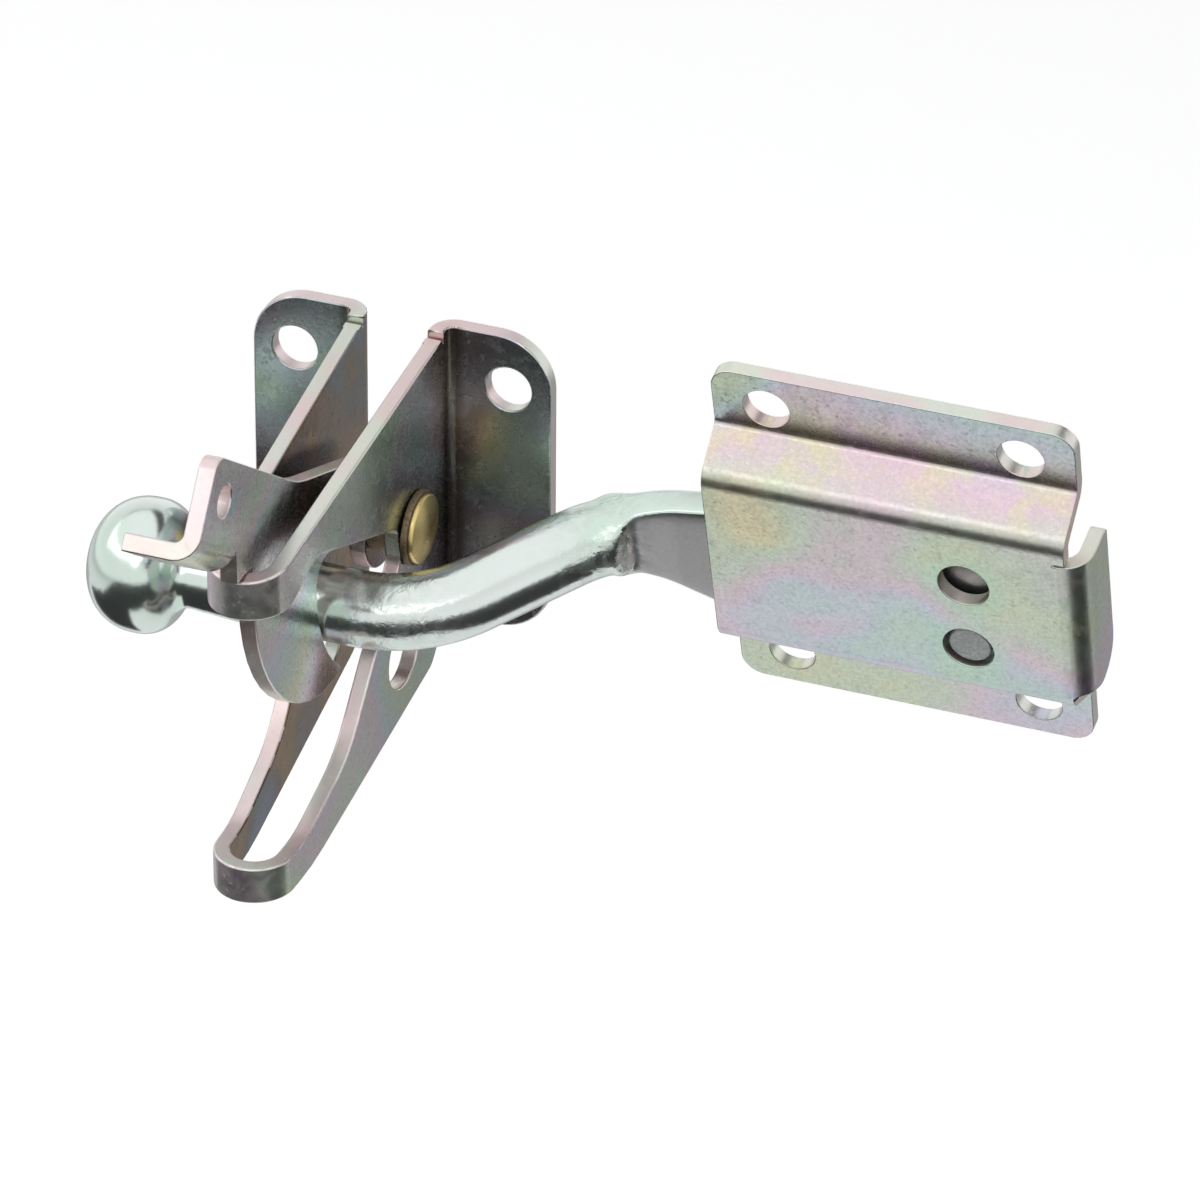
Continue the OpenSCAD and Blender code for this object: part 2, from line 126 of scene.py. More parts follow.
class LatchBarSizes(bpy.types.PropertyGroup):
    """The strike bar, measured from the middle of the latch along the bar's axis."""
    bar_r: length("Bar radius", "Radius of the round bar", 6.35)
    knob_r: length("Knob radius", "Radius of the pull knob", 11.4)
    knob_len: length("Knob length", "Length of the pull knob", 16.4)
    knob_x: length("Knob place", "Distance of the knob's neck from the middle", 25)
    neck_r: length("Neck radius", "Radius of the neck behind the knob", 5.5)
    bend_x: length("Bend place", "Where the first bend starts", 5)
    bend_r: length("Bend radius", "Radius of both bends, to the bar's axis", 23)
    bend_angle: bearing("Bend angle", "How far each bend turns", 50)
    flat_x: length("Flat place", "Where the bar is fully pressed flat", 44)
    press_len: length("Press length", "Length over which the round bar turns flat", 6)
    flare_x: length("Flare place", "Where the blade reaches its full width", 60)
    blade_t: length("Blade thickness", "Thickness of the pressed blade", 6)
    blade_top: length("Blade top", "Height of the blade's upper edge over the bar's axis", 9.9)
    blade_low: length("Blade low", "Depth of the blade's lower edge under the bar's axis", 13.2)
    blade_corner: length("Blade corner", "Radius of the blade's end corners", 6)
    blade_y: length("Blade offset", "Offset of the blade's middle plane from the bar's axis", 29.88)


class LatchFinish(bpy.types.PropertyGroup):
    """Colours of the plating, the rivet and the bushes."""
    zinc: colour("Zinc", "Clear zinc plating", (0.60, 0.62, 0.60))
    film_green: colour("Green film", "Greenest part of the passivation film", (0.49, 0.70, 0.55))
    film_pink: colour("Pink film", "Pinkest part of the passivation film", (0.77, 0.54, 0.63))
    film_straw: colour("Straw film", "Yellowest part of the passivation film", (0.77, 0.66, 0.40))
    film_blue: colour("Blue film", "Bluest part of the passivation film", (0.56, 0.62, 0.75))
    # Painted shade: this dark colour darkens the faces between the two walls, under the brown and blue
    # stain, and the bend lines.
    pooled: colour("Pooled film", "Dark film pooled between the two walls", (0.14, 0.11, 0.08))
    pooled_brown: colour("Brown film", "Warmest part of the pooled film", (0.38, 0.22, 0.10))
    pooled_blue: colour("Dark blue film", "Bluest part of the pooled film", (0.19, 0.24, 0.31))
    # Painted shade: this colour darkens the sheet towards the flanges, standing in for dark reflections.
    deep: colour("Deep film", "Dark film towards the flanges", (0.20, 0.20, 0.19))
    sheared: colour("Sheared edge", "Bright zinc on the sheared edges", (0.74, 0.76, 0.68))
    sheared_pink: colour("Pink edge", "Pink film on the sheared edges", (0.82, 0.66, 0.65))
    bright: colour("Bright zinc", "Zinc on the turned and polished bar", (0.72, 0.78, 0.75))
    rolled: colour("Rolled blade", "Dull zinc on the flattened blade", (0.42, 0.41, 0.415))
    worn: colour("Worn steel", "Bare end of the stud", (0.34, 0.37, 0.37))
    dull: colour("Dull grain", "Dark crystals in the plating", (0.36, 0.37, 0.35))
    brass: colour("Brass", "Pivot rivet", (0.72, 0.58, 0.26))
    tarnish: colour("Tarnish", "Darker patches on the rivet", (0.62, 0.46, 0.20))
    bronze: colour("Bronze", "Pivot bushes and washer", (0.26, 0.20, 0.13))
    pore: colour("Pores", "Oiled pores of the bushes and the washer", (0.16, 0.12, 0.09))


class LatchStage(bpy.types.PropertyGroup):
    """Camera and studio."""
    yaw: bearing("Yaw", "Camera's turn to the right of the front", 20.722)
    rise: bearing("Rise", "Camera's angle over the horizon", 31.199)
    roll: bearing("Roll", "Camera's turn about its own axis", 0.504)
    distance: length("Distance", "Camera's distance from its aim", 1316.478)
    aim_right: length("Aim right", "Aim's offset to the right in the picture", 31.897)
    aim_up: length("Aim up", "Aim's offset upwards in the picture", -23.418)
    lens: FloatProperty(name="Lens", description="Focal length in millimetres on a 36 mm sensor",
                        default=237.6)
    floor_drop: length("Floor drop", "Depth of the floor under the latch", 240)
    floor_glow: glow("Floor glow", "Light that the floor gives off", 0.6)
    table_glow: glow("Table glow", "Light that the table gives off", 0.42)
    wall_glow: glow("Wall glow", "Light that the studio wall gives off", 0.6)
    cloth: colour("Cloth", "Dark cloths that the metal mirrors", (0.03, 0.03, 0.03))
    floor: colour("Floor", "Pale floor", (0.93, 0.93, 0.93))
    room: colour("Room", "Dim room behind the studio", (0.05, 0.052, 0.055))


def prop(group):
    """The scene's property group of that name."""
    return getattr(bpy.context.scene, group)


class Port:
    """A shader value. Arithmetic on it adds Math nodes, from either side."""

    def __init__(self, finish, socket):
        self.finish = finish
        self.socket = socket

    def maths(self, operation, *terms):
        """A Math node over the terms."""
        return self.finish.node("ShaderNodeMath", {"operation": operation}, dict(enumerate(terms)))

    def __add__(self, other):
        return self.maths("ADD", self, other)

    __radd__ = __add__

    def __sub__(self, other):
        return self.maths("SUBTRACT", self, other)

    def __rsub__(self, other):
        return self.maths("SUBTRACT", other, self)

    def __mul__(self, other):
        return self.maths("MULTIPLY", self, other)

    __rmul__ = __mul__

    def band(self, low, high):
        """0 at low, 1 at high, eased between."""
        return self.finish.node("ShaderNodeMapRange", {"interpolation_type": "SMOOTHSTEP"},
                                {"Value": self, "From Min": low, "From Max": high})


class Finish:
    """One material and the nodes that make it."""

    def __init__(self, name):
        self.material = bpy.data.materials.new(name)
        self.material.use_nodes = True
        self.tree = self.material.node_tree
        self.tree.nodes.clear()
        self.where = self.node("ShaderNodeTexCoord", out="Object")

    def node(self, kind, settings=None, inputs=None, out=0):
        """Adds a node of that kind: its settings first, then values or links of its sockets."""
        made = self.tree.nodes.new(kind)
        for key, value in (settings or {}).items():
            if key == "stops":
                self.set_stops(made.color_ramp, value)
            elif key == "interpolation":
                made.color_ramp.interpolation = value
            else:
                setattr(made, key, value)
        for key, value in (inputs or {}).items():
            if isinstance(value, Port):
                self.tree.links.new(value.socket, made.inputs[key])
            else:
                made.inputs[key].default_value = value
        return Port(self, made.outputs[out]) if made.outputs else made

    @staticmethod
    def set_stops(ramp, stops):
        """Gives a ramp its stops, as pairs of place and colour."""
        while len(ramp.elements) < len(stops):
            ramp.elements.new(0.5)
        for element, (place, shade) in zip(ramp.elements, stops):
            element.position = place
            element.color = (*shade, 1)

    def noise(self, scale, detail=2.0, distortion=0.0, stretch=(1, 1, 1), shift=(0, 0, 0)):
        """Noise on Object coordinates, scale in waves per metre, as a value round a half."""
        place = self.node("ShaderNodeMapping", None,
                          {"Vector": self.where, "Scale": stretch, "Location": shift}, "Vector")
        return self.node("ShaderNodeTexNoise", None,
                         {"Vector": place, "Scale": scale, "Detail": detail, "Distortion": distortion})

    def from_axis(self, point, axis):
        """Distance from a straight line through a point, in metres."""
        offset = self.node("ShaderNodeVectorMath", {"operation": "SUBTRACT"}, {0: self.where, 1: point})
        along = self.node("ShaderNodeVectorMath", {"operation": "PROJECT"}, {0: offset, 1: axis})
        across = self.node("ShaderNodeVectorMath", {"operation": "SUBTRACT"}, {0: offset, 1: along})
        return self.node("ShaderNodeVectorMath", {"operation": "LENGTH"}, {0: across}, "Value")

    def attribute(self, name):
        """The piece's own value of that name, or 0 where it has none."""
        return self.node("ShaderNodeAttribute", {"attribute_name": name}, None, "Fac")

    def mix(self, factor, first, second):
        """Colour between first and second."""
        shades = [s if isinstance(s, Port) else (*s, 1) for s in (first, second)]
        return self.node("ShaderNodeMix", {"data_type": "RGBA"},
                         {"Factor": factor, 6: shades[0], 7: shades[1]}, 2)

    def close(self, shade, rough, relief, depth):
        """Ends the metal: colour, roughness, and a bump of that depth in metres."""
        bump = self.node("ShaderNodeBump", None, {"Height": relief, "Strength": 1.0, "Distance": depth})
        surface = self.node("ShaderNodeBsdfPrincipled", None,
                            {"Base Color": shade, "Roughness": rough, "Metallic": 1.0, "Normal": bump})
        self.node("ShaderNodeOutputMaterial", None, {"Surface": surface})
        return self.material


# Waves per metre: the slow film, its patches, the stain and painted shade between the walls and the tint of
# sheared edges, then the crystalline spangle, the pits and the grain.
FILM_WAVES, PATCH_WAVES, STAIN_AND_SHADE_WAVES, RIM_WAVES = 34, 150, 42, 60
SPANGLE_WAVES, PIT_WAVES, GRAIN_WAVES = 330, 900, 1500
# The bar's slow tint, the dents and the frost where it was worked.
TINT_WAVES, DENT_WAVES, FROST_WAVES = 40, 430, 420
# The stud's grain and scratches, the brass's patches and grain, and the bronze's pores.
STUD_WAVES, SCRATCH_WAVES, TARNISH_WAVES, BRASS_WAVES, PORE_WAVES = 1800, 900, 380, 3000, 2200
# Depths of the relief.
SHEET_RELIEF, BAR_RELIEF, STUD_RELIEF, BRASS_RELIEF, PORE_RELIEF = (
    0.02 * MM, 0.03 * MM, 0.03 * MM, 0.03 * MM, 0.08 * MM)
# The cover's upper hole and upper bend, from the stud: up the cover, and from its face into the gate.
UPPER_HOLE_UP = 14.6 * MM
UPPER_BEND_UP, UPPER_BEND_IN = 31 * MM, 5.8 * MM
# Distances over which the film changes round those holes and along that bend, over which the painted shade
# fades round the post half's upright axis, where it is darkest, and along the bends between the walls and
# the flanges.
HOLE_FILM, BEND_FILM = (5 * MM, 9 * MM), (2 * MM, 12 * MM)
PAINTED_SHADE_REACH, BEND_SHADE_REACH = (16 * MM, 48 * MM), (0.8 * MM, 3 * MM)
# Shares of the film's colours where they are strongest: patches, clear zinc, the rings round the holes and
# the pooled bend.
PATCH_SHARE, PALE_SHARE, RING_SHARE, POOL_SHARE = 0.1, 0.12, 0.55, 0.6
# The same for the sheet's dull grain, painted shade to the flanges and in the bends, stain and shade
# between the walls, and sheared edges.
DULL_SHARE, PAINTED_SHADE_SHARE, BEND_SHADE_SHARE, STAIN_AND_SHADE_SHARE, RIM_SHARE = 0.3, 0.3, 0.75, 0.9, 0.8
# The same for the bar's green tint and frost, the stud's zinc and the rivet's tarnish.
TINT_SHARE, FROST_SHARE, STUD_SHARE, TARNISH_SHARE = 0.45, 0.3, 0.5, 0.45
# Where the bends between the walls and the flanges stand.
WALL_BENDS = ((-8.9 * MM, -3.3 * MM, 0), (8.9 * MM, -3.3 * MM, 0))


def film_colour(f, tone):
    """The passivation film's interference colours: slow patches on a ramp, paled towards clear zinc, a
    green ring where it thins round the cover's two punched stud holes, and straw and pink where it pooled
    along the cover's upper bend."""
    slow = f.noise(FILM_WAVES, 1.0, 0.5, stretch=(0.7, 1, 1))
    patch = f.noise(PATCH_WAVES, 2, 0.3, shift=(3.1, 1.7, 0.4))
    film = slow * (1 - PATCH_SHARE) + patch * PATCH_SHARE
    shade = f.node("ShaderNodeValToRGB", {"interpolation": "B_SPLINE", "stops": [
        (0.26, tone.film_straw), (0.36, tone.film_green), (0.46, tone.film_blue), (0.54, tone.film_pink),
        (0.64, tone.film_green), (0.74, tone.film_straw)]}, {"Fac": film})
    shade = f.mix(PALE_SHARE, shade, tone.zinc)
    upper_hole = STUD + COVER_UP * UPPER_HOLE_UP
    away = f.from_axis(STUD, GATE_OUT).band(*HOLE_FILM) * f.from_axis(upper_hole, GATE_OUT).band(*HOLE_FILM)
    shade = f.mix((1 - away) * RING_SHARE, shade, tone.film_green)
    bend = STUD + COVER_UP * UPPER_BEND_UP - GATE_OUT * UPPER_BEND_IN
    pooled = 1 - f.from_axis(bend, RIGHT).band(*BEND_FILM)
    warm = f.mix(patch.band(0.4, 0.6), tone.film_straw, tone.film_pink)
    return f.mix(pooled * slow.band(0.38, 0.52) * POOL_SHARE, shade, warm)


def zinc_sheet():
    """Passivated zinc on stamped sheet: slow green, pink, straw and blue film, a fine crystalline grain,
    painted shade towards the flanges and in their bends, lighter sheared edges, and a brown and blue stain
    between the walls, darkened there by painted shade."""
    tone = prop("latch_finish")
    f = Finish("finish_zinc_sheet")
    shade = film_colour(f, tone)
    grain = f.noise(GRAIN_WAVES, 4)
    spangle = f.noise(SPANGLE_WAVES, 3, 0.6)
    pits = f.noise(PIT_WAVES, 2, shift=(0.7, 0.2, 0.9)).band(0.60, 0.72)
    shade = f.mix(grain.band(0.30, 0.72) * DULL_SHARE, shade, tone.dull)
    # Painted shade: darker round the upright axis towards the flanges, standing in for dark reflections.
    deep = 1 - f.from_axis((0, 0, 0), UP).band(*PAINTED_SHADE_REACH)
    shade = f.mix(deep * PAINTED_SHADE_SHARE, shade, tone.deep)
    # Painted shade: a dark line along each concave bend between a wall and its flange.
    for place in WALL_BENDS:
        bend_shade = 1 - f.from_axis(place, UP).band(*BEND_SHADE_REACH)
        shade = f.mix(bend_shade * BEND_SHADE_SHARE, shade, tone.pooled)
    # Brown and blue stain with painted shade: the faces between the walls are darkened where shade falls.
    stain_and_painted_shade = f.node("ShaderNodeValToRGB", {"interpolation": "B_SPLINE", "stops": [
        (0.30, tone.pooled_blue), (0.40, tone.pooled), (0.52, tone.pooled_brown), (0.60, tone.pooled),
        (0.70, tone.pooled_blue)]}, {"Fac": f.noise(STAIN_AND_SHADE_WAVES, 2, 0.3)})
    shade = f.mix(f.attribute("hollow") * STAIN_AND_SHADE_SHARE, shade, stain_and_painted_shade)
    cut = f.attribute("cut_edge")
    tint = f.noise(RIM_WAVES, 2, shift=(0.4, 2.2, 1.3)).band(0.40, 0.58)
    shade = f.mix(cut * RIM_SHARE, shade, f.mix(tint, tone.sheared, tone.sheared_pink))
    bent = f.attribute("bent")
    rough = (0.17 + 0.12 * grain + 0.06 * spangle.band(0.35, 0.75) + 0.08 * cut + 0.10 * pits
             + bent * (0.04 + 0.18 * spangle))
    return f.close(shade, rough, grain * 0.6 + spangle * 0.4 - pits * 0.5, SHEET_RELIEF)


def zinc_bar():
    """Bright zinc on the turned bar: smooth on the straight, frosted where the bends were pressed, and grey
    with a rolled grain on the flat blade."""
    tone = prop("latch_finish")
    f = Finish("finish_zinc_bar")
    slow = f.noise(TINT_WAVES, 2, 0.6)
    shade = f.mix(slow.band(0.4, 0.7) * TINT_SHARE, tone.bright, tone.film_green)
    grain = f.noise(GRAIN_WAVES, 4)
    worked = f.attribute("worked")
    blade = f.attribute("blade")
    dents = worked * f.noise(DENT_WAVES, 3, 0.6)
    frost = worked * f.noise(FROST_WAVES, 3, 0.5).band(0.35, 0.62)
    shade = f.mix(frost * FROST_SHARE, shade, tone.zinc)
    shade = f.mix(blade * (0.8 + 0.2 * grain), shade, tone.rolled)
    rough = 0.15 + 0.09 * grain + 0.16 * frost + 0.2 * blade
    return f.close(shade, rough, grain * (0.5 + frost + 0.5 * blade) + dents * 9, BAR_RELIEF)


def stud_steel():
    """Worn end of the stud: grey, dull and finely scratched across."""
    tone = prop("latch_finish")
    f = Finish("finish_stud_steel")
    grain = f.noise(STUD_WAVES, 3)
    scratch = f.noise(SCRATCH_WAVES, 2, stretch=(0.15, 1, 1))
    shade = f.mix(grain.band(0.35, 0.7) * STUD_SHARE, tone.worn, tone.zinc)
    return f.close(shade, 0.38 + 0.15 * scratch, grain * 0.5 + scratch, STUD_RELIEF)


def rivet_brass():
    """Brass rivet: warm, with a fine grain and a darker tarnish in patches."""
    tone = prop("latch_finish")
    f = Finish("finish_rivet_brass")
    patch = f.noise(TARNISH_WAVES, 3, 0.4)
    shade = f.mix(patch.band(0.4, 0.7) * TARNISH_SHARE, tone.brass, tone.tarnish)
    grain = f.noise(BRASS_WAVES, 2)
    return f.close(shade, 0.2 + 0.12 * patch + 0.08 * grain, grain, BRASS_RELIEF)


def bush_bronze():
    """Oiled sintered bronze: dark, dull and pitted."""
    tone = prop("latch_finish")
    f = Finish("finish_bush_bronze")
    pits = f.noise(PORE_WAVES, 3)
    shade = f.mix(pits.band(0.45, 0.65), tone.bronze, tone.pore)
    return f.close(shade, 0.42 + 0.2 * pits, pits, PORE_RELIEF)


def finish_of(maker):
    """The maker's material, made once."""
    return bpy.data.materials.get("finish_" + maker.__name__) or maker()


def dress(obj, node, body, maker):
    """Puts a piece in place of its CAD node, on its body, with its slot's finish."""
    obj.data.materials.clear()
    obj.data.materials.append(finish_of(maker))
    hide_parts(node)
    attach(obj, body)


def node_points(node):
    """The corners of a CAD node, one row each."""
    return np.array([v.co for v in frame["nodes"][node].data.vertices])


def new_object(name, mesh):
    """Links a mesh as an object at the origin."""
    obj = bpy.data.objects.new(name, mesh)
    bpy.context.scene.collection.objects.link(obj)
    return obj


# A ray that measures the sheet starts this far under the face.
PROBE_START = 0.02 * MM
# Keeps a face without any area from dividing by nothing.
LEAST_AREA = 1e-18
# Faces that turn less than this against each other are one face.
FLAT_TURN = math.radians(0.6)
# A sharp edge that meets a short one at less than this angle leaves no room for its round.
TIGHT_ANGLE = math.radians(120)
# Edges within this many times the bare length of such a corner keep little or none of their round.
BARE_REACH = 1.6
# Faces of the latch body between its walls lie within this distance of the middle plane and look at it.
HOLLOW_X, INWARD = 14 * MM, 0.5
# The two front loops lie in front of this place, and are fully roughened where they face this far forward.
LOOP_Y, LOOP_FULL = -40 * MM, 0.7
# A face at least this large is one of the cover's flats, and one that isn't parallel to any is in a bend.
FLAT_AREA = 100 * MM * MM
FLAT_DOT = math.cos(math.radians(1.5))
FOLD_SHARE = 0.6


def sheet_share(bm, thickest):
    """For each face, the share of its area that has no more metal behind it than the sheet's thickness:
    near 1 on the sheet's two sides, near 0 on a sheared edge."""
    tree = BVHTree.FromBMesh(bm)
    thin = np.zeros(len(bm.faces))
    whole = np.zeros(len(bm.faces))
    for loops in bm.calc_loop_triangles():
        a, b, c = (loop.vert.co for loop in loops)
        face = loops[0].face
        area = (b - a).cross(c - a).length
        depth = tree.ray_cast((a + b + c) / 3 - face.normal * PROBE_START, -face.normal)[3]
        whole[face.index] += area
        thin[face.index] += area * (depth is not None and depth < thickest)
    return thin / np.maximum(whole, LEAST_AREA)


def is_sharp(edge, sharp):
    """Whether an edge between two faces turns more than the sharp angle."""
    return edge.is_manifold and edge.calc_face_angle() > sharp


def tight_corners(bm, size, edge_r):
    """The corners where a sharp edge too short for the tumbled round on both its sides meets another."""
    found = []
    for edge in bm.edges:
        if edge.calc_length() > 2 * edge_r or not is_sharp(edge, size.sharp):
            continue
        for vert in edge.verts:
            along = edge.other_vert(vert).co - vert.co
            others = [e.other_vert(vert).co - vert.co for e in vert.link_edges
                      if e is not edge and is_sharp(e, size.sharp)]
            if any(along.angle(other) < TIGHT_ANGLE for other in others):
                found.append(vert.co.copy())
    return found


def weigh_edges(bm, size, edge_r, kept):
    """Bevel weights: 1 on every sharp edge, less close to a corner that has no room for the round. A long
    edge that runs into such a corner is split first."""
    corners = tight_corners(bm, size, edge_r)
    for corner in corners:
        for edge in list(bm.edges):
            near, far = sorted(edge.verts, key=lambda vert: (vert.co - corner).length)
            runs_in = (near.co - corner).length < size.bare < (far.co - corner).length
            if runs_in and edge.calc_length() > size.bare:
                bmesh.utils.edge_split(edge, near, size.bare / edge.calc_length())
    weight = bm.edges.layers.float.new("bevel_weight_edge")
    reach = BARE_REACH * size.bare
    for edge in bm.edges:
        bare = any(all((vert.co - corner).length < reach for vert in edge.verts) for corner in corners)
        edge[weight] = is_sharp(edge, size.sharp) * (kept if bare else 1.0)


def sheet_piece(node, name, merge, edge_r, kept):
    """A copy of a CAD sheet node with its edges tumbled round. Each face is marked as sheet or as sheared
    edge, by the metal behind it, as lying between the walls where it looks at the middle plane, and as
    roughened where it runs round the front of a loop or a bend of the cover."""
    size = prop("latch_sheet")
    bm = bmesh.new()
    bm.from_mesh(frame["nodes"][node].data)
    bmesh.ops.remove_doubles(bm, verts=bm.verts, dist=merge)
    bmesh.ops.dissolve_degenerate(bm, edges=bm.edges, dist=merge)
    bmesh.ops.dissolve_limit(bm, angle_limit=FLAT_TURN, verts=bm.verts, edges=bm.edges)
    cut = bm.faces.layers.float.new("cut_edge")
    hollow = bm.faces.layers.float.new("hollow")
    bent = bm.faces.layers.float.new("bent")
    bm.faces.index_update()
    share = sheet_share(bm, size.thickest)
    flats = [face.normal.copy() for face in bm.faces if face.calc_area() > FLAT_AREA]
    for face in bm.faces:
        face.smooth = True
        middle = face.calc_center_median()
        face[cut] = float(share[face.index] < 0.5)
        inward = face.normal.x * middle.x < -INWARD * abs(middle.x)
        # Faces between the walls take the brown and blue stain and the painted shade.
        face[hollow] = float(node == "latch_body" and inward and abs(middle.x) < HOLLOW_X)
        loop = node == "latch_body" and middle.y < LOOP_Y and not face[cut]
        flat = any(face.normal.dot(normal) > FLAT_DOT for normal in flats)
        fold = node == "cover_plate" and not flat and not face[cut]
        face[bent] = max(FOLD_SHARE * fold, loop * ease(-face.normal.y / LOOP_FULL))
    for edge in bm.edges:
        edge.smooth = not is_sharp(edge, size.sharp)
    weigh_edges(bm, size, edge_r, kept)
    mesh = bpy.data.meshes.new(name)
    bm.to_mesh(mesh)
    bm.free()
    obj = new_object(name, mesh)
    bevel = obj.modifiers.new("Tumbled edge", "BEVEL")
    bevel.width = edge_r
    bevel.segments = size.edge_steps
    bevel.limit_method = "WEIGHT"
    bevel.use_clamp_overlap = False
    bevel.harden_normals = True
    bevel.miter_outer = "MITER_ARC" if node == "latch_body" else "MITER_PATCH"
    return obj


def rounded(points, steps=10):
    """A polyline whose corners are swept round: each point is (along, across, radius), and a corner becomes
    an arc of that radius touching both its sides."""
    points = np.array(points, float)
    rows = [points[:1, :2]]
    for before, corner, after in zip(points[:-2], points[1:-1], points[2:]):
        a = before[:2] - corner[:2]
        b = after[:2] - corner[:2]
        a /= np.linalg.norm(a)
        b /= np.linalg.norm(b)
        half = math.acos(np.clip(a @ b, -1, 1)) / 2
        if corner[2] == 0:
            rows.append(corner[None, :2])
            continue
        middle = corner[:2] + (a + b) / np.linalg.norm(a + b) * corner[2] / math.sin(half)
        turn = np.linspace(-1, 1, steps)[:, None] * (math.pi / 2 - half)
        inward = (corner[:2] - middle) / np.linalg.norm(corner[:2] - middle)
        side = b - inward * (b @ inward)
        side /= np.linalg.norm(side)
        rows.append(middle + corner[2] * (np.cos(turn) * inward + np.sin(turn) * side))
    rows.append(points[-1:, :2])
    return np.concatenate(rows)


def evened(line, step):
    """The same polyline with long stretches cut to at most that step."""
    pieces = [np.linspace(a, b, max(1, int(np.linalg.norm(b - a) / step)), endpoint=False)
              for a, b in zip(line[:-1], line[1:])]
    return np.concatenate(pieces + [line[-1:]])


def tube_mesh(name, rings):
    """A closed tube from rings of points, rings[i, j] the j-th point of the i-th ring, shut at both ends
    by a fan to the ring's middle. Faces point outwards for rings that turn left about the way they go."""
    count, around = rings.shape[:2]
    ends = rings[[0, -1]].mean(axis=1)
    points = np.concatenate([rings.reshape(-1, 3), ends])
    ring = np.arange(around)
    ahead = np.roll(ring, -1)
    start = np.arange(count - 1)[:, None] * around
    quads = np.stack([start + ring, start + ahead, start + around + ahead, start + around + ring], -1)
    last = (count - 1) * around
    low = np.stack([ahead, ring, np.full(around, count * around)], -1)
    high = np.stack([last + ring, last + ahead, np.full(around, count * around + 1)], -1)
    mesh = bpy.data.meshes.new(name)
    mesh.from_pydata(points.tolist(), [], quads.reshape(-1, 4).tolist() + low.tolist() + high.tolist())
    mesh.shade_smooth()
    return mesh


def turned_mesh(name, profile, origin, axis, around=72):
    """A lathe: the profile's (along, radius) pairs turned about an axis from an origin, so that a point is
    the origin, plus along times the axis, plus radius times a direction round the axis."""
    axis = Vector(axis).normalized()
    across = axis.orthogonal().normalized()
    turn = np.linspace(0, 2 * math.pi, around, endpoint=False)
    round_it = (np.cos(turn)[:, None] * np.array(across)
                + np.sin(turn)[:, None] * np.array(axis.cross(across)))
    rings = (np.array(origin) + profile[:, 0, None, None] * np.array(axis)
             + profile[:, 1, None, None] * round_it)
    return tube_mesh(name, rings)


def gate_to_world(points):
    """Points given along the bar, into the gate and up the cover, from the bar's middle, in the frame."""
    return points @ np.array(GATE_AXES).T + np.array(BAR)


def ease(k):
    """0 to 1 with a flat start and end: three k squared less two k cubed."""
    k = np.clip(k, 0, 1)
    return k * k * (3 - 2 * k)


def between(a, b, k):
    """a at k 0, b at k 1."""
    return a + (b - a) * k


# Radii of the knob's corners at its end, its shoulder and its neck, and the shoulder's share of the knob.
KNOB_END_R, SHOULDER_R, NECK_CORNER_R = 8.6 * MM, 6 * MM, 2.5 * MM
SHOULDER_SHARE = 0.19
# Rings of the bar: their spacing on the straights, and how many make a corner of the knob, a bend, the
# blade, the part of the blade that is made finer for its end, and that finer part.
RING_STEP = 0.7 * MM
CORNER_RINGS, BEND_RINGS, BLADE_RINGS, END_RINGS, FINE_RINGS = 18, 30, 90, 12, 24
# Powers of the superellipse of the round bar and of the blade.
ROUND_POWER, BLADE_POWER = 2, 8
# Where the bar was worked: reach of the press, the bend's place after its start, its reach and its share.
PRESS_REACH, BEND_AFTER, BEND_REACH, BEND_SHARE = 7 * MM, 8 * MM, 8 * MM, 0.6
# The blade's dull finish: the length over which it starts, its start there, and the softness at its rims.
DULL_LENGTH, DULL_START, DULL_RIM = 3 * MM, 0.8, 0.3


def bar_path(s, blade_end):
    """Rows of the bar from the knob's end to the blade's end: along, offset, heading, radius. The knob is a
    turned profile, the bar goes straight, round two equal and opposite bends, and straight again."""
    knob_end = -s.knob_x - s.knob_len
    shoulder = -s.knob_x - SHOULDER_SHARE * s.knob_len
    knob = rounded([
        (knob_end, 0.0, 0), (knob_end, s.knob_r, KNOB_END_R), (shoulder, s.knob_r, SHOULDER_R),
        (-s.knob_x, s.neck_r, NECK_CORNER_R), (-s.knob_x + 2 * s.bar_r, s.bar_r, 0),
        (s.bend_x, s.bar_r, 0)], CORNER_RINGS)
    knob = evened(knob, RING_STEP)[1:]
    rise = (s.blade_y - 2 * s.bend_r * (1 - math.cos(s.bend_angle))) / math.sin(s.bend_angle)
    heading = np.array([math.cos(s.bend_angle), math.sin(s.bend_angle)])
    turn = np.linspace(0, s.bend_angle, BEND_RINGS)[1:]
    first = np.array([s.bend_x, 0]) + s.bend_r * np.stack([np.sin(turn), 1 - np.cos(turn)], -1)
    slope = first[-1] + np.linspace(0, rise, max(2, int(rise / RING_STEP)))[1:, None] * heading
    centre = slope[-1] + s.bend_r * np.array([math.sin(s.bend_angle), -math.cos(s.bend_angle)])
    back = turn[::-1] - turn[0]
    second = centre + s.bend_r * np.stack([-np.sin(back), np.cos(back)], -1)
    blade_x = np.linspace(centre[0], blade_end, BLADE_RINGS)[1:]
    fine = np.sin(np.linspace(0, math.pi / 2, FINE_RINGS))[::-1]
    corner = blade_end - (blade_end - blade_x[-END_RINGS]) * fine
    along = np.concatenate([blade_x[:-END_RINGS], corner[1:]])
    straight = np.stack([along, np.full(along.shape, s.blade_y)], -1)
    axis = np.stack([knob[:, 0], np.zeros(len(knob))], -1)
    path = np.concatenate([axis, first, slope, second, straight])
    angle = np.concatenate([np.zeros(len(knob)), turn, np.full(len(slope), s.bend_angle), back,
                            np.zeros(len(straight))])
    radius = np.concatenate([knob[:, 1], np.full(len(path) - len(knob), s.bar_r)])
    return path, angle, radius


